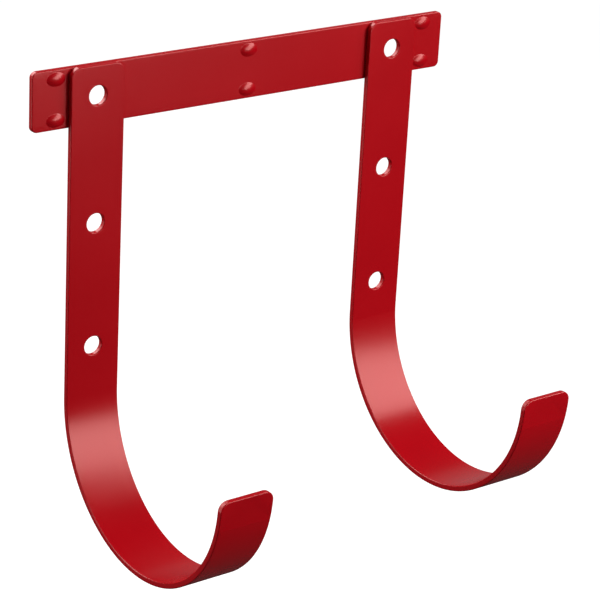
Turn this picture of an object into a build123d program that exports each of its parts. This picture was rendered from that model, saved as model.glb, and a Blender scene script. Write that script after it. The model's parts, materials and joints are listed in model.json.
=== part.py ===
from build123d import *

import os
from math import degrees

# Wall-mounted double hook: a flat crossbar with two deep J hooks laid on its front face.
# The origin is the centre of the crossbar's back face, which lies against the wall.
# +X runs along the crossbar, +Y points into the wall and +Z is up. Sizes are in millimetres.

# Flat steel, the same stock for the crossbar and both hooks, with its sharp outer edges
# broken all round
stock_width = 30
stock_thickness = 3
edge_break = 0.4

# Crossbar, which runs on past the outer edge of each strap
hook_spacing = 180
bar_overhang = 20
bar_corner_radius = 3

# Round holes for the wall screws, in a row down each strap from the crossbar's centre line.
# The crossbar has a wider clearance hole behind each top one, with its rim out of sight from
# the front.
hole_diameter = 10
hole_pitch = 65
holes_per_strap = 3
clearance_diameter = 16

# Domed pips pressed out of the crossbar's front, with a dimple left behind each. A pair
# stands just outside each strap, and one more pair in the middle.
pip_radius = 4
pip_height = 1.2
pip_blend_radius = 0.5
pip_to_strap = 3
pip_to_bar_edge = 0.8
dimple_radius = 3.3
dimple_depth = 1

# Straps, cut to one length, with their top ends level with the crossbar's top edge
strap_length = 383
strap_corner_radius = 5

# The bends are formed one by one, so each hook has its own straight run from the lowest
# hole to the start of the bend, and its own inside radius
hook_bends = {
    "left_hook": {"run_to_bend": 26, "inside_radius": 66},
    "right_hook": {"run_to_bend": 16, "inside_radius": 68.5},
}

strap_top = stock_width / 2
lowest_hole = (holes_per_strap - 1) * hole_pitch
bar_length = hook_spacing + stock_width + 2 * bar_overhang
pip_pitch = (hook_spacing + stock_width) / 2 + pip_to_strap + pip_radius
pip_row_spacing = stock_width - 2 * (pip_radius + pip_to_bar_edge)

wall_plane = Plane.XZ
bar_front = wall_plane.offset(stock_thickness)
strap_middle = bar_front.offset(stock_thickness / 2)


def make_dome(radius, height):
    """A shallow spherical cap that stands on the XY plane, with a plain root below it."""
    root = stock_thickness / 2
    with BuildPart() as dome:
        with BuildSketch(Plane.XZ):
            with BuildLine():
                cap = ThreePointArc((-radius, 0), (0, height), (radius, 0))
                Polyline(cap @ 1, (radius, -root), (-radius, -root), cap @ 0)
            make_face()
            split(bisect_by=Plane.YZ)
        revolve(axis=Axis.Z)
    return dome.part


def make_hook(name, centre_x, run_to_bend, inside_radius):
    """One strap: straight down the wall, then bent forward and up on a single radius."""
    bend_start = lowest_hole + run_to_bend
    middle_radius = inside_radius + stock_thickness / 2
    bend_angle = degrees((strap_length - strap_top - bend_start) / middle_radius)
    middle_y = strap_middle.origin.Y

    with BuildPart() as hook:
        # The strip's middle line, and its section swept along it
        with BuildLine(Plane.YZ.offset(centre_x)) as run:
            strap = Line((middle_y, strap_top), (middle_y, -bend_start))
            JernArc(strap @ 1, strap % 1, middle_radius, -bend_angle)
        with BuildSketch(Plane(run.line @ 0, x_dir=(1, 0, 0), z_dir=run.line % 0)):
            Rectangle(stock_width, stock_thickness)
        sweep()

        # The cut ends get round corners, and then the whole outline is broken
        cut_ends = hook.faces().sort_by(SortBy.AREA)[:2]
        fillet(cut_ends.edges().group_by(SortBy.LENGTH)[0], strap_corner_radius)
        chamfer(hook.edges().filter_by(Edge.is_interior, reverse=True), edge_break)

        with Locations(strap_middle):
            with Locations([(centre_x, -row * hole_pitch) for row in range(holes_per_strap)]):
                Hole(hole_diameter / 2, depth=stock_thickness)

    hook.part.label = name
    return hook.part


pip = make_dome(pip_radius, pip_height)
dimple = make_dome(dimple_radius, dimple_depth)

with BuildPart() as crossbar:
    with BuildSketch(wall_plane):
        RectangleRounded(bar_length, stock_width, bar_corner_radius)
    extrude(amount=stock_thickness)
    chamfer(crossbar.faces().filter_by(Axis.Y).edges(), edge_break)

    # Pips in front, each blended into the face at its foot
    with Locations(bar_front):
        with GridLocations(pip_pitch, pip_row_spacing, 3, 2):
            add(pip)
    fillet(crossbar.edges(Select.LAST).group_by(Axis.Y)[-1], pip_blend_radius)

    # Dimples behind them
    with Locations(wall_plane):
        with GridLocations(pip_pitch, pip_row_spacing, 3, 2):
            add(dimple, mode=Mode.SUBTRACT)

    with Locations(bar_front):
        with GridLocations(hook_spacing, stock_width, 2, 1):
            Hole(clearance_diameter / 2)
crossbar.part.label = "crossbar"

os.makedirs("parts", exist_ok=True)
export_step(crossbar.part, "parts/crossbar.step")

for side, (name, bend) in zip((-1, 1), hook_bends.items()):
    hook = make_hook(name, side * hook_spacing / 2, **bend)
    export_step(hook, f"parts/{name}.step")
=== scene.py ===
# %% [markdown]
# # A double wall hook in red powder coat
#
# The real object is three lengths of flat steel: a crossbar that lies against the wall, and
# two long straps on its front that end in deep J bends. It is punched, pressed, bent, spot
# welded and then powder-coated as one piece.
#
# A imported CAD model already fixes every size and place. This file follows the workshop:
# cut and punch flat plates, bend the straps, press the pips, coat everything, and light it.
# The first cell loads the CAD model, which is called the frame here.

# %% Load the frame
import json
from math import asin, cos, pi, radians, sin, sqrt

import bmesh
import bpy
from mathutils import Matrix, Vector


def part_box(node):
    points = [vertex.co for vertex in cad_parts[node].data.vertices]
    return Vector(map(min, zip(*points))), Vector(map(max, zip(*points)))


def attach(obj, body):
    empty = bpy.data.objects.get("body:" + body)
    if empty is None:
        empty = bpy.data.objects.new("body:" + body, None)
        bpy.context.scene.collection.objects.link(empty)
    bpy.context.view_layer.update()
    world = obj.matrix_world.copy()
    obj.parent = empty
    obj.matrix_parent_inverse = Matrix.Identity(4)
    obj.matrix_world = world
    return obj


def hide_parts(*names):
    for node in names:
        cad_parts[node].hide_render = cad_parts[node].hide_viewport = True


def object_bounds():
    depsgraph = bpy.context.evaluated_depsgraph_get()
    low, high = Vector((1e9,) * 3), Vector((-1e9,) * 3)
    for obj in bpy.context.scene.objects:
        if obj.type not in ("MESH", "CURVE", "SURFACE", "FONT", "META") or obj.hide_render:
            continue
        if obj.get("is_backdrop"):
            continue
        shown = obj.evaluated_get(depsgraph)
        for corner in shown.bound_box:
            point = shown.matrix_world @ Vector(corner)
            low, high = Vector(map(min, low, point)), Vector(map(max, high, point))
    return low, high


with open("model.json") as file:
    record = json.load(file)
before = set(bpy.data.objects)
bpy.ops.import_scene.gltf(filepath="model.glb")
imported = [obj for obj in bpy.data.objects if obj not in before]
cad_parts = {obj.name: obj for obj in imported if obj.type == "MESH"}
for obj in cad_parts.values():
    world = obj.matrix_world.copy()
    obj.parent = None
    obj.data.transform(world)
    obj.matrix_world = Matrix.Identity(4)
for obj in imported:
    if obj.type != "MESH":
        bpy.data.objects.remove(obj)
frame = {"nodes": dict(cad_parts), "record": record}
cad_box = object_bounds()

print("frame nodes:", sorted(frame["nodes"]))
print("CAD box in metres:")
for corner in cad_box:
    print("  ", [round(value, 4) for value in corner])

# %% [markdown]
# ## Sizes
#
# Nothing is measured twice. The frame gives the box of each CAD piece, and its record gives
# the screw holes, so the width and thickness of the steel, the two bend radii and the
# hole pattern are all worked out from there. Only what they can't tell is written as a
# number, in millimetres: the strap's length before it is bent, the clearance holes behind
# the top screw holes, the rounded corners, the pips and the softened edges.

# %% Sizes from the frame
MM = 0.001
HOOKS = ("left_hook", "right_hook")

strip_low, strip_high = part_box("left_hook")
bar_low, bar_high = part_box("crossbar")
steel_width = strip_high.x - strip_low.x
steel_thickness = -strip_high.y
bar_length = bar_high.x - bar_low.x
hook_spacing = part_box("right_hook")[1].x - strip_high.x

mounts = {mount["name"]: mount for mount in frame["record"]["mounts"]}
screw_holes = mounts["lower_holes"]["dims"]
hole_radius = screw_holes["hole_r_mm"] * MM
hole_pitch = screw_holes["spacing_y_mm"] * MM
holes_per_strap = 3

strap_length = 383 * MM
strap_corner_radius = 5 * MM
bar_corner_radius = 3 * MM
clearance_radius = 8 * MM
print(f"steel {steel_width / MM:.1f} x {steel_thickness / MM:.1f} mm")
print(f"bar {bar_length / MM:.0f} mm long, hooks {hook_spacing / MM:.0f} mm apart")

# %% Sizes of the pips and edges
pip_radius = 4.0 * MM
pip_height = bar_high.y - bar_low.y - steel_thickness
pip_foot_radius = 0.5 * MM
pip_stretch = (1.28, 0.86, 1)
dimple_radius = 3.3 * MM
dimple_depth = 1.0 * MM
pip_to_strap = 3.0 * MM
pip_to_bar_edge = 0.8 * MM
pip_pitch = (hook_spacing + steel_width) / 2 + pip_to_strap + pip_radius
pip_rows = steel_width - 2 * (pip_radius + pip_to_bar_edge)

edge_radius = 0.5 * MM

# How finely rounds and curves are divided, and how close points must be to be merged
edge_steps = 4
corner_steps = 12
circle_steps = 48
cap_steps = 10
foot_steps = 4
blank_step = 0.75 * MM
weld_distance = 0.01 * MM
print(f"pips {pip_height / MM:.1f} mm high, {pip_pitch / MM:.0f} mm apart")

# %% [markdown]
# ## Three small helpers for node trees
#
# Shaders and Geometry Nodes are both made of nodes, so one function that adds a node, sets
# its options and fills or links its sockets serves the whole file. A second one starts a
# Geometry Nodes tree with named inputs, so that a tree reads like a tool with its own dials.
# A third runs such a tree once and keeps what it made as a plain mesh.

# %% Node helpers
def add(tree, kind, inputs=None, **settings):
    """Adds one node. An input takes a value, or a node or socket to link, or a list of them."""
    made = tree.nodes.new(kind)
    for setting, value in settings.items():
        setattr(made, setting, value)
    for socket, given in (inputs or {}).items():
        for value in given if isinstance(given, list) else [given]:
            if isinstance(value, bpy.types.Node):
                value = value.outputs[0]
            if isinstance(value, bpy.types.NodeSocket):
                tree.links.new(value, made.inputs[socket])
            else:
                made.inputs[socket].default_value = value
    return made


def start_tree(name, **sockets):
    """A new Geometry Nodes tree with these inputs, and its input sockets by name."""
    tree = bpy.data.node_groups.new(name, "GeometryNodeTree")
    for label, kind in sockets.items():
        tree.interface.new_socket(label, in_out="INPUT", socket_type="NodeSocket" + kind)
    tree.interface.new_socket("mesh", in_out="OUTPUT", socket_type="NodeSocketGeometry")
    return tree, tree.nodes.new("NodeGroupInput").outputs


def run_tree(name, tree, **values):
    """Runs a tree once and keeps the result as a plain mesh object, with no modifier left."""
    piece = bpy.data.objects.new(name, bpy.data.meshes.new(name))
    bpy.context.scene.collection.objects.link(piece)
    maker = piece.modifiers.new("maker", "NODES")
    maker.node_group = tree
    for item in tree.interface.items_tree:
        if item.name in values:
            maker[item.identifier] = values[item.name]
    evaluated = piece.evaluated_get(bpy.context.evaluated_depsgraph_get())
    result = bpy.data.meshes.new_from_object(evaluated)
    piece.modifiers.remove(maker)
    piece.data = result
    result.name = name
    return piece


print("helpers:", add.__name__, start_tree.__name__, run_tree.__name__)

# %% [markdown]
# ## A punched plate with soft edges
#
# Every piece starts as flat plate. Sheared steel has crisp edges, but powder coat flows
# into a small round there, and that round is what catches a line of light in the render.
# A boolean and a bevel could make it. Here the rim is swept instead: one profile, the side
# of the plate with both of its corners rounded, runs round the outline and round every hole,
# and the two flat faces are filled between the rims. All parts share the same points, so
# merging them closes the plate with no gaps.

# %% Tree: cut plate
plate_tree, plate_in = start_tree(
    "cut_plate",
    outline="Geometry",
    holes="Geometry",
    front_openings="Geometry",
    back_openings="Geometry",
    thickness="Float",
    edge="Float",
)
half = add(
    plate_tree, "ShaderNodeMath", {0: plate_in["thickness"], 1: 0.5}, operation="MULTIPLY"
)
minus_half = add(plate_tree, "ShaderNodeMath", {0: half, 1: -1}, operation="MULTIPLY")
minus_edge = add(
    plate_tree, "ShaderNodeMath", {0: plate_in["edge"], 1: -1}, operation="MULTIPLY"
)

hole_rims = add(plate_tree, "GeometryNodeReverseCurve", {"Curve": plate_in["holes"]})
all_rims = add(
    plate_tree, "GeometryNodeJoinGeometry", {0: [plate_in["outline"], hole_rims]}
)
rims = add(plate_tree, "GeometryNodeSetCurveNormal", {"Curve": all_rims}, mode="Z_UP")

front_inner = add(plate_tree, "ShaderNodeCombineXYZ", {"X": minus_edge, "Y": half})
front_outer = add(plate_tree, "ShaderNodeCombineXYZ", {"Y": half})
back_outer = add(plate_tree, "ShaderNodeCombineXYZ", {"Y": minus_half})
back_inner = add(plate_tree, "ShaderNodeCombineXYZ", {"X": minus_edge, "Y": minus_half})
square_edge = add(
    plate_tree,
    "GeometryNodeCurvePrimitiveQuadrilateral",
    {
        "Point 1": front_inner,
        "Point 2": front_outer,
        "Point 3": back_outer,
        "Point 4": back_inner,
    },
    mode="POINTS",
)
open_edge = add(
    plate_tree, "GeometryNodeSetSplineCyclic", {"Geometry": square_edge, "Cyclic": False}
)
round_edge = add(
    plate_tree,
    "GeometryNodeFilletCurve",
    {
        "Curve": open_edge,
        "Count": edge_steps,
        "Radius": plate_in["edge"],
        "Limit Radius": True,
    },
    mode="POLY",
)
rim_band = add(
    plate_tree, "GeometryNodeCurveToMesh", {"Curve": rims, "Profile Curve": round_edge}
)
print(f"rim profile: {edge_radius / MM} mm corners in {edge_steps} steps")

# %% Tree: cut plate, its two faces
rim_normal = add(plate_tree, "GeometryNodeInputNormal")
inward = add(
    plate_tree,
    "ShaderNodeVectorMath",
    {0: rim_normal, "Scale": minus_edge},
    operation="SCALE",
)
face_rims = add(plate_tree, "GeometryNodeSetPosition", {"Geometry": rims, "Offset": inward})
faces = []
for openings, face_height in (("front_openings", half), ("back_openings", minus_half)):
    edges = add(plate_tree, "GeometryNodeJoinGeometry", {0: [face_rims, plate_in[openings]]})
    face = add(plate_tree, "GeometryNodeFillCurve", {"Curve": edges}, mode="TRIANGLES")
    face_lift = add(plate_tree, "ShaderNodeCombineXYZ", {"Z": face_height})
    faces.append(
        add(plate_tree, "GeometryNodeTransform", {"Geometry": face, "Translation": face_lift})
    )
plate_parts = add(plate_tree, "GeometryNodeJoinGeometry", {0: [rim_band, *faces]})
plate = add(
    plate_tree,
    "GeometryNodeMergeByDistance",
    {"Geometry": plate_parts, "Distance": weld_distance},
)
add(plate_tree, "NodeGroupOutput", {"mesh": plate})
print("cut_plate nodes:", len(plate_tree.nodes))

# %% [markdown]
# ## The hooks: a strip that is bent by formula
#
# On the real hook a straight blank is rounded at its ends, punched with three holes, and
# then pressed round a former. The tree below does the same. It cuts the flat blank with its
# length running down -Y, and then moves each point by how far along the strip it lies: up to
# the start of the bend it goes straight down, and past it the angle grows with the distance.
# The middle of the steel keeps its length, as in a real press.
#
# A sweep along a J-shaped curve is the other common way, but then the rounded tip and the
# holes would have to be cut out of a curved piece. Flat first and bent second is simpler.

# %% Tree: bent strap, the flat blank
strap_tree, strap_in = start_tree(
    "bent_strap",
    width="Float",
    thickness="Float",
    length="Float",
    corner="Float",
    edge="Float",
    hole_radius="Float",
    hole_pitch="Float",
    hole_count="Int",
    bend_start="Float",
    bend_radius="Float",
    place="Vector",
    coat="Material",
)
corner_outline = add(
    strap_tree,
    "GeometryNodeCurvePrimitiveQuadrilateral",
    {"Width": strap_in["width"], "Height": strap_in["length"]},
)
round_outline = add(
    strap_tree,
    "GeometryNodeFilletCurve",
    {"Curve": corner_outline, "Count": corner_steps, "Radius": strap_in["corner"]},
    mode="POLY",
)
half_length = add(
    strap_tree, "ShaderNodeMath", {0: strap_in["length"], 1: -0.5}, operation="MULTIPLY"
)
down = add(strap_tree, "ShaderNodeCombineXYZ", {"Y": half_length})
hung_outline = add(
    strap_tree, "GeometryNodeTransform", {"Geometry": round_outline, "Translation": down}
)
outline = add(
    strap_tree,
    "GeometryNodeResampleCurve",
    {"Curve": hung_outline, "Length": blank_step},
    mode="LENGTH",
)
print(f"blank: {strap_length / MM:.0f} mm long, a point each {blank_step / MM} mm")

# %% Tree: bent strap, the punched holes
first_hole = add(
    strap_tree, "ShaderNodeMath", {0: strap_in["width"], 1: -0.5}, operation="MULTIPLY"
)
first_place = add(strap_tree, "ShaderNodeCombineXYZ", {"Y": first_hole})
minus_pitch = add(
    strap_tree, "ShaderNodeMath", {0: strap_in["hole_pitch"], 1: -1}, operation="MULTIPLY"
)
hole_step = add(strap_tree, "ShaderNodeCombineXYZ", {"Y": minus_pitch})
hole_places = add(
    strap_tree,
    "GeometryNodeMeshLine",
    {"Count": strap_in["hole_count"], "Start Location": first_place, "Offset": hole_step},
    mode="OFFSET",
)
hole_circle = add(
    strap_tree,
    "GeometryNodeCurvePrimitiveCircle",
    {"Resolution": circle_steps, "Radius": strap_in["hole_radius"]},
)
hole_copies = add(
    strap_tree,
    "GeometryNodeInstanceOnPoints",
    {"Points": hole_places, "Instance": hole_circle},
)
holes = add(strap_tree, "GeometryNodeRealizeInstances", {"Geometry": hole_copies})
blank = add(strap_tree, "GeometryNodeGroup", node_tree=plate_tree)
for socket, value in (
    ("outline", outline.outputs[0]),
    ("holes", holes.outputs[0]),
    ("thickness", strap_in["thickness"]),
    ("edge", strap_in["edge"]),
):
    strap_tree.links.new(value, blank.inputs[socket])
print(f"holes: {holes_per_strap} of {2 * hole_radius / MM:.0f} mm at {hole_pitch / MM:.0f} mm")

# %% Tree: bent strap, the bend
flat = add(
    strap_tree, "ShaderNodeSeparateXYZ", {0: add(strap_tree, "GeometryNodeInputPosition")}
)
along = add(strap_tree, "ShaderNodeMath", {0: flat.outputs["Y"], 1: -1}, operation="MULTIPLY")
straight = add(
    strap_tree, "ShaderNodeMath", {0: along, 1: strap_in["bend_start"]}, operation="MINIMUM"
)
past = add(strap_tree, "ShaderNodeMath", {0: along, 1: straight}, operation="SUBTRACT")
angle = add(
    strap_tree, "ShaderNodeMath", {0: past, 1: strap_in["bend_radius"]}, operation="DIVIDE"
)
fibre = add(
    strap_tree,
    "ShaderNodeMath",
    {0: strap_in["bend_radius"], 1: flat.outputs["Z"]},
    operation="SUBTRACT",
)
cosine = add(strap_tree, "ShaderNodeMath", {0: angle}, operation="COSINE")
sine = add(strap_tree, "ShaderNodeMath", {0: angle}, operation="SINE")
reach = add(strap_tree, "ShaderNodeMath", {0: fibre, 1: cosine}, operation="MULTIPLY")
drop = add(strap_tree, "ShaderNodeMath", {0: fibre, 1: sine}, operation="MULTIPLY")
forward = add(
    strap_tree, "ShaderNodeMath", {0: reach, 1: strap_in["bend_radius"]}, operation="SUBTRACT"
)
fall = add(strap_tree, "ShaderNodeMath", {0: straight, 1: drop}, operation="ADD")
bent_height = add(strap_tree, "ShaderNodeMath", {0: fall, 1: -1}, operation="MULTIPLY")
bent_place = add(
    strap_tree, "ShaderNodeCombineXYZ", {"X": flat.outputs["X"], "Y": forward, "Z": bent_height}
)
bent = add(
    strap_tree, "GeometryNodeSetPosition", {"Geometry": blank, "Position": bent_place}
)
placed = add(
    strap_tree,
    "GeometryNodeTransform",
    {"Geometry": bent, "Translation": strap_in["place"]},
)
real = add(strap_tree, "GeometryNodeRealizeInstances", {"Geometry": placed})
coated = add(
    strap_tree, "GeometryNodeSetMaterial", {"Geometry": real, "Material": strap_in["coat"]}
)
add(strap_tree, "NodeGroupOutput", {"mesh": coated})
print("bent_strap nodes:", len(strap_tree.nodes))

# %% [markdown]
# ## One pip and its dimple
#
# The crossbar has six small pips. They are pushed through from behind with a blunt punch, so
# each is a shallow dome in front with a soft foot, and a bowl behind. A turned shape needs
# only its profile, so a short lathe function makes both as round shapes. The photograph
# shows the pips a little wider than tall, so the tree for the crossbar stretches its copies.

# %% Lathe
def lathe(name, profile):
    """A turned mesh from (radius, height) pairs, whose last pair lies on the axis."""
    shape = bmesh.new()
    rings = []
    for radius, level in profile[:-1]:
        turns = [2 * pi * step / circle_steps for step in range(circle_steps)]
        points = [(radius * cos(turn), radius * sin(turn), level) for turn in turns]
        rings.append([shape.verts.new(point) for point in points])
    for outer, inner in zip(rings, rings[1:]):
        for step in range(circle_steps):
            after = (step + 1) % circle_steps
            shape.faces.new((outer[step], outer[after], inner[after], inner[step]))
    tip = shape.verts.new((0, 0, profile[-1][1]))
    for step in range(circle_steps):
        after = (step + 1) % circle_steps
        shape.faces.new((rings[-1][step], rings[-1][after], tip))
    mesh = bpy.data.meshes.new(name)
    shape.to_mesh(mesh)
    shape.free()
    return bpy.data.objects.new(name, mesh)


# %% Pip and dimple profiles
def cap_radius(radius, height):
    """The radius of the ball whose cap has this height over a circle of this radius."""
    return (radius**2 + height**2) / (2 * height)


def cap_points(ball, height, first_radius):
    """Points up the side of a cap, from first_radius to its top on the axis."""
    start = asin(first_radius / ball)
    turns = [start * (1 - step / cap_steps) for step in range(cap_steps + 1)]
    return [(ball * sin(turn), height - ball + ball * cos(turn)) for turn in turns]


pip_ball = cap_radius(pip_radius, pip_height)
ball_and_foot = pip_ball + pip_foot_radius
foot_centre = sqrt(ball_and_foot**2 - (ball_and_foot - pip_height) ** 2)
foot_turn = asin(foot_centre / ball_and_foot)
pip_foot = [
    (
        foot_centre - pip_foot_radius * sin(foot_turn * step / foot_steps),
        pip_foot_radius * (1 - cos(foot_turn * step / foot_steps)),
    )
    for step in range(foot_steps)
]
pip_side = cap_points(pip_ball, pip_height, pip_ball * sin(foot_turn))
pip = lathe("pip", pip_foot + pip_side)
dimple_ball = cap_radius(dimple_radius, dimple_depth)
dimple = lathe("dimple", cap_points(dimple_ball, dimple_depth, dimple_radius))
print(f"pip foot {2 * foot_centre / MM:.2f} mm across, {len(pip.data.polygons)} faces")

# %% [markdown]
# ## The crossbar: one pip, six times
#
# The crossbar's outline and its two clearance holes go through the same cut_plate tool as
# the straps. The pips stand on a grid of three by two points. Openings as wide as a pip's
# foot are left in the front face, and as wide as a dimple in the back, and they are
# stretched as the pips are, so that each copy fits its opening point for point.

# %% Tree: crossbar
bar_tree, bar_in = start_tree(
    "pressed_crossbar",
    length="Float",
    width="Float",
    thickness="Float",
    corner="Float",
    edge="Float",
    hole_radius="Float",
    hole_spacing="Float",
    pip="Object",
    pip_foot="Float",
    dimple="Object",
    dimple_rim="Float",
    pip_pitch="Float",
    pip_rows="Float",
    pip_stretch="Vector",
    coat="Material",
)
bar_corners = add(
    bar_tree,
    "GeometryNodeCurvePrimitiveQuadrilateral",
    {"Width": bar_in["length"], "Height": bar_in["width"]},
)
bar_outline = add(
    bar_tree,
    "GeometryNodeFilletCurve",
    {"Curve": bar_corners, "Count": corner_steps, "Radius": bar_in["corner"]},
    mode="POLY",
)
bar_hole_places = add(
    bar_tree,
    "GeometryNodeMeshGrid",
    {"Size X": bar_in["hole_spacing"], "Size Y": 0, "Vertices X": 2, "Vertices Y": 1},
)
pip_span = add(
    bar_tree, "ShaderNodeMath", {0: bar_in["pip_pitch"], 1: 2}, operation="MULTIPLY"
)
pip_places = add(
    bar_tree,
    "GeometryNodeMeshGrid",
    {"Size X": pip_span, "Size Y": bar_in["pip_rows"], "Vertices X": 3, "Vertices Y": 2},
)
openings = {}
for label, places, radius, stretch in (
    ("holes", bar_hole_places, "hole_radius", (1, 1, 1)),
    ("front_openings", pip_places, "pip_foot", bar_in["pip_stretch"]),
    ("back_openings", pip_places, "dimple_rim", bar_in["pip_stretch"]),
):
    circle = add(
        bar_tree,
        "GeometryNodeCurvePrimitiveCircle",
        {"Resolution": circle_steps, "Radius": bar_in[radius]},
    )
    opening_copies = add(
        bar_tree,
        "GeometryNodeInstanceOnPoints",
        {"Points": places, "Instance": circle, "Scale": stretch},
    )
    openings[label] = add(
        bar_tree, "GeometryNodeRealizeInstances", {"Geometry": opening_copies}
    )
bar_plate = add(bar_tree, "GeometryNodeGroup", node_tree=plate_tree)
plate_inputs = {
    "outline": bar_outline.outputs[0],
    "thickness": bar_in["thickness"],
    "edge": bar_in["edge"],
}
plate_inputs.update({label: curves.outputs[0] for label, curves in openings.items()})
for socket, value in plate_inputs.items():
    bar_tree.links.new(value, bar_plate.inputs[socket])
print(f"bar openings: {sorted(openings)}")

# %% Tree: crossbar, its pips and dimples
bar_parts = [bar_plate]
for label, face_side in (("pip", 0.5), ("dimple", -0.5)):
    source = add(bar_tree, "GeometryNodeObjectInfo", {"Object": bar_in[label]})
    pip_copies = add(
        bar_tree,
        "GeometryNodeInstanceOnPoints",
        {
            "Points": pip_places,
            "Instance": source.outputs["Geometry"],
            "Scale": bar_in["pip_stretch"],
        },
    )
    face_level = add(
        bar_tree, "ShaderNodeMath", {0: bar_in["thickness"], 1: face_side}, operation="MULTIPLY"
    )
    pip_lift = add(bar_tree, "ShaderNodeCombineXYZ", {"Z": face_level})
    bar_parts.append(
        add(
            bar_tree,
            "GeometryNodeTransform",
            {"Geometry": pip_copies, "Translation": pip_lift},
        )
    )
loose = add(bar_tree, "GeometryNodeJoinGeometry", {0: bar_parts})
bar_real = add(bar_tree, "GeometryNodeRealizeInstances", {"Geometry": loose})
welded = add(
    bar_tree,
    "GeometryNodeMergeByDistance",
    {"Geometry": bar_real, "Distance": weld_distance},
)
bar_middle = add(
    bar_tree, "ShaderNodeMath", {0: bar_in["thickness"], 1: -0.5}, operation="MULTIPLY"
)
bar_place = add(bar_tree, "ShaderNodeCombineXYZ", {"Y": bar_middle})
upright = add(
    bar_tree,
    "GeometryNodeTransform",
    {"Geometry": welded, "Translation": bar_place, "Rotation": (pi / 2, 0, 0)},
)
bar_coated = add(
    bar_tree, "GeometryNodeSetMaterial", {"Geometry": upright, "Material": bar_in["coat"]}
)
add(bar_tree, "NodeGroupOutput", {"mesh": bar_coated})
print("pressed_crossbar nodes:", len(bar_tree.nodes))

# %% [markdown]
# ## Red polyester powder coat on steel
#
# Powder coat is a baked plastic film about 0.08 mm thick. It is opaque, so the colour comes
# from the film alone. It melts before it sets, so it is smooth and semi-glossy but keeps a
# faint orange peel, a ripple about a millimetre long and a few microns high. Pigment and
# film build vary a little from place to place, which shows as a slow drift in colour and
# gloss. Object coordinates keep every pattern at its real size on all three pieces.
#
# A plastic film has an IOR of about 1.5. Its highlights are white in theory, but the bright
# bands in the photograph are pink, so the sheen gets a light red tint to match them.

# %% Colour helper
def linear(hex_colour):
    """An sRGB hex colour as the linear red, green, blue and alpha that Blender wants."""
    parts = []
    for start in (1, 3, 5):
        part = int(hex_colour[start : start + 2], 16) / 255
        parts.append(part / 12.92 if part <= 0.04045 else ((part + 0.055) / 1.055) ** 2.4)
    return (*parts, 1)


# %% Material: red powder coat
coat_red = "#A60310"
coat_red_thin = "#9C030E"
coat_sheen_tint = "#FFBDB8"
coat_ior = 1.5
coat_gloss = (0.23, 0.27)
peel_length = 1.2 * MM
peel_height = 0.004 * MM
drift_length = 45 * MM

coat = bpy.data.materials.new("red_polyester_powder_coat_on_steel")
coat.use_nodes = True
shader = coat.node_tree
film = shader.nodes["Principled BSDF"]
film.inputs["IOR"].default_value = coat_ior
film.inputs["Specular Tint"].default_value = linear(coat_sheen_tint)
where = add(shader, "ShaderNodeTexCoord")
drift = add(
    shader,
    "ShaderNodeTexNoise",
    {
        "Vector": where.outputs["Object"],
        "Scale": 1 / drift_length,
        "Detail": 2,
        "Roughness": 0.5,
    },
)
colour = add(
    shader,
    "ShaderNodeMix",
    {"Factor": drift, 6: linear(coat_red_thin), 7: linear(coat_red)},
    data_type="RGBA",
)
gloss = add(
    shader,
    "ShaderNodeMapRange",
    {"Value": drift, "To Min": coat_gloss[0], "To Max": coat_gloss[1]},
)
peel = add(
    shader,
    "ShaderNodeTexNoise",
    {
        "Vector": where.outputs["Object"],
        "Scale": 1 / peel_length,
        "Detail": 1,
        "Roughness": 0.4,
    },
)
ripple = add(
    shader, "ShaderNodeBump", {"Height": peel, "Distance": peel_height, "Strength": 1}
)
shader.links.new(colour.outputs[2], film.inputs["Base Color"])
shader.links.new(gloss.outputs[0], film.inputs["Roughness"])
shader.links.new(ripple.outputs[0], film.inputs["Normal"])
print("coat:", coat.name, "base", [round(part, 4) for part in linear(coat_red)[:3]])

# %% [markdown]
# ## Making the three pieces
#
# Each tree runs once, and its result is kept as a plain mesh that rides on the frame's body
# and stands for the CAD piece. Normals are worked out again so that all faces point outwards,
# and weighted normals let the large flat faces stay flat while the narrow rims turn smoothly.

# %% Finishing helper
flat_face_weight = 100


def finish_piece(piece, node):
    """Turns the faces outwards, smooths the shading, hangs the piece on the root body and hides
    its CAD node.
    """
    shape = bmesh.new()
    shape.from_mesh(piece.data)
    bmesh.ops.recalc_face_normals(shape, faces=shape.faces)
    open_edges = sum(not edge.is_manifold for edge in shape.edges)
    shape.to_mesh(piece.data)
    shape.free()
    piece.data.shade_smooth()
    weights = piece.modifiers.new("weighted_normals", "WEIGHTED_NORMAL")
    weights.weight = flat_face_weight
    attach(piece, "root")
    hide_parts(node)
    print(f"{piece.name}: {len(piece.data.polygons)} faces, {open_edges} open edges")


# %% Crossbar
crossbar = run_tree(
    "coated_crossbar",
    bar_tree,
    length=bar_length,
    width=steel_width,
    thickness=steel_thickness,
    corner=bar_corner_radius,
    edge=edge_radius,
    hole_radius=clearance_radius,
    hole_spacing=hook_spacing,
    pip=pip,
    pip_foot=foot_centre,
    dimple=dimple,
    dimple_rim=dimple_radius,
    pip_pitch=pip_pitch,
    pip_rows=pip_rows,
    pip_stretch=pip_stretch,
    coat=coat,
)
finish_piece(crossbar, "crossbar")
for helper in (pip, dimple):
    bpy.data.objects.remove(helper)

# %% Hooks
for node in HOOKS:
    low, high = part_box(node)
    depth = high.y - low.y
    bend_radius = (depth - steel_thickness) / 2
    hook = run_tree(
        "coated_" + node,
        strap_tree,
        width=steel_width,
        thickness=steel_thickness,
        length=strap_length,
        corner=strap_corner_radius,
        edge=edge_radius,
        hole_radius=hole_radius,
        hole_pitch=hole_pitch,
        hole_count=holes_per_strap,
        bend_start=high.z - low.z - depth / 2,
        bend_radius=bend_radius,
        place=((low.x + high.x) / 2, high.y - steel_thickness / 2, high.z),
        coat=coat,
    )
    finish_piece(hook, node)
    print(f"  bend radius {bend_radius / MM:.1f} mm to the middle of the steel")

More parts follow.
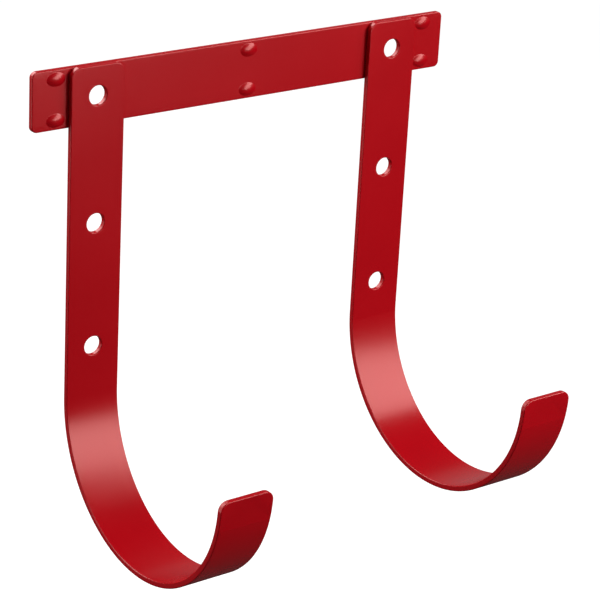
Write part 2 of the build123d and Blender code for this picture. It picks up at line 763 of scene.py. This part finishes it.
# %% [markdown]
# ## Camera
#
# The camera looks from the left and from above, through a long lens that is tipped a little.
# Its values come from matching the corners and holes of the object in the photograph.

# %% Camera
view_azimuth = radians(-37.795)
view_elevation = radians(21.809)
view_roll = radians(3.138)
view_distance = 1287.1 * MM
view_target = Vector((43.2, 0, -134.03)) * MM
lens_mm = 145.19
sensor_mm = 36

back = Vector(
    (
        sin(view_azimuth) * cos(view_elevation),
        -cos(view_azimuth) * cos(view_elevation),
        sin(view_elevation),
    )
)
side = Vector((0, 0, 1)).cross(back).normalized()
above = back.cross(side)
turned_side = side * cos(view_roll) + above * sin(view_roll)
turned_above = above * cos(view_roll) - side * sin(view_roll)

camera = bpy.data.objects.new("camera", bpy.data.cameras.new("camera"))
camera.data.lens = lens_mm
camera.data.sensor_width = sensor_mm
camera_place = Matrix((turned_side, turned_above, back)).transposed().to_4x4()
camera_place.translation = view_target + back * view_distance
camera.matrix_world = camera_place
bpy.context.scene.collection.objects.link(camera)
bpy.context.scene.camera = camera
print("camera at", [round(value, 3) for value in camera.location])

# %% [markdown]
# ## Floor, background and light
#
# The hook hangs clear of everything on plain white, as in a catalogue. A sheet of pale paper
# lies well below it and fills the view. Only camera rays see the paper glow up to white, and
# it still takes the object's shadow. All other rays see a dim studio, because the real paint
# mirrors one between its highlights: the band of light on each bend ends in pure deep red.
# Nothing here is bare metal or glass that would have to show the white background.
#
# Five soft boxes make the light. The key is a long one to the right in front, hung at a
# slant, and its mirror image is the bright band on each bend. A small one overhead and a
# wide one above and behind light the bottoms of the hooks, and the wide one also lights the
# back and the walls of the holes. A dim one low behind gives the bottoms their thin sheen,
# and one low at the left lights the steel's left edges. The boxes themselves are hidden from
# the camera.

# %% Floor
floor_level = -0.62
floor_reach = 6
paper_glow = 0.98
floor_mesh = bpy.data.meshes.new("floor")
floor_corners = [
    (side_x * floor_reach, side_y * floor_reach, floor_level)
    for side_x, side_y in ((-1, -1), (1, -1), (1, 1), (-1, 1))
]
floor_mesh.from_pydata(floor_corners, [], [(0, 1, 2, 3)])
floor = bpy.data.objects.new("floor", floor_mesh)
bpy.context.scene.collection.objects.link(floor)
floor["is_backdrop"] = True

paper = bpy.data.materials.new("pale_background_paper")
paper.use_nodes = True
sheet = paper.node_tree
sheet.nodes.clear()
paper_rays = add(sheet, "ShaderNodeLightPath")
dim_paper = add(sheet, "ShaderNodeBsdfDiffuse", {"Color": linear("#333333")})
pale_paper = add(sheet, "ShaderNodeBsdfDiffuse", {"Color": linear("#7C7C7C")})
glow = add(sheet, "ShaderNodeEmission", {"Color": linear("#FFFFFF"), "Strength": paper_glow})
glowing_paper = add(sheet, "ShaderNodeAddShader", {0: pale_paper, 1: glow})
paper_seen = add(
    sheet,
    "ShaderNodeMixShader",
    {0: paper_rays.outputs["Is Camera Ray"], 1: dim_paper, 2: glowing_paper},
)
add(sheet, "ShaderNodeOutputMaterial", {"Surface": paper_seen})
floor.data.materials.append(paper)
print("floor", 2 * floor_reach, "m wide at", floor_level, "m")

# %% World
studio_light = 0.05
white_light = 1

world = bpy.data.worlds.new("white_studio")
bpy.context.scene.world = world
world.use_nodes = True
studio = world.node_tree
studio.nodes.clear()
world_rays = add(studio, "ShaderNodeLightPath")
ambient = add(
    studio, "ShaderNodeBackground", {"Color": linear("#FFFFFF"), "Strength": studio_light}
)
white = add(
    studio, "ShaderNodeBackground", {"Color": linear("#FFFFFF"), "Strength": white_light}
)
world_seen = add(
    studio,
    "ShaderNodeMixShader",
    {0: world_rays.outputs["Is Camera Ray"], 1: ambient, 2: white},
)
add(studio, "ShaderNodeOutputWorld", {"Surface": world_seen})
print("world:", world.name)

# %% Soft boxes
light_centre = Vector((0, -40, -150)) * MM


def soft_box(name, azimuth, elevation, distance, width, height, brightness, roll):
    """A soft box that faces the object. Angles are in degrees and lengths in metres.

    Brightness is its radiance, where white paper is 1. Roll turns it in its own plane.
    """
    turn, rise = radians(azimuth), radians(elevation)
    outward = Vector((sin(turn) * cos(rise), -cos(turn) * cos(rise), sin(rise)))
    lamp = bpy.data.lights.new(name, "AREA")
    lamp.shape = "RECTANGLE"
    lamp.size = width
    lamp.size_y = height
    lamp.energy = brightness * pi * width * height
    upright = outward.to_track_quat("Z", "Y").to_matrix()
    facing = upright @ Matrix.Rotation(radians(roll), 3, "Z")
    box = bpy.data.objects.new(name, lamp)
    box.location = light_centre + outward * distance
    box.rotation_euler = facing.to_euler()
    box.visible_camera = False
    bpy.context.scene.collection.objects.link(box)
    print(f"{name}: {lamp.energy:.1f} W")


# %% The five boxes
for name, azimuth, elevation, distance, width, height, brightness, roll in (
    ("key", 38.2, 22, 1.2, 0.55, 1.56, 8.2, -48),
    ("overhead", -40, 75, 1.2, 0.64, 0.64, 3, 0),
    ("rear", -162, 42, 1.4, 1.5, 1.0, 5.8, 0),
    ("low_rear", 136, 5, 1.4, 0.75, 0.85, 0.24, 0),
    ("left", -115, 5, 1.4, 1.2, 1.2, 2.4, 0),
):
    soft_box(name, azimuth, elevation, distance, width, height, brightness, roll)

# %% [markdown]
# ## The size of the dressed model
#
# Blender must not change the size of the object, so the box of the dressed model is printed
# here, to set beside the CAD box printed in the first cell.

# %% The dressed box
bpy.context.scene.view_settings.view_transform = "Standard"
dressed_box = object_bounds()
print("dressed box in metres:")
for corner in dressed_box:
    print("  ", [round(value, 4) for value in corner])
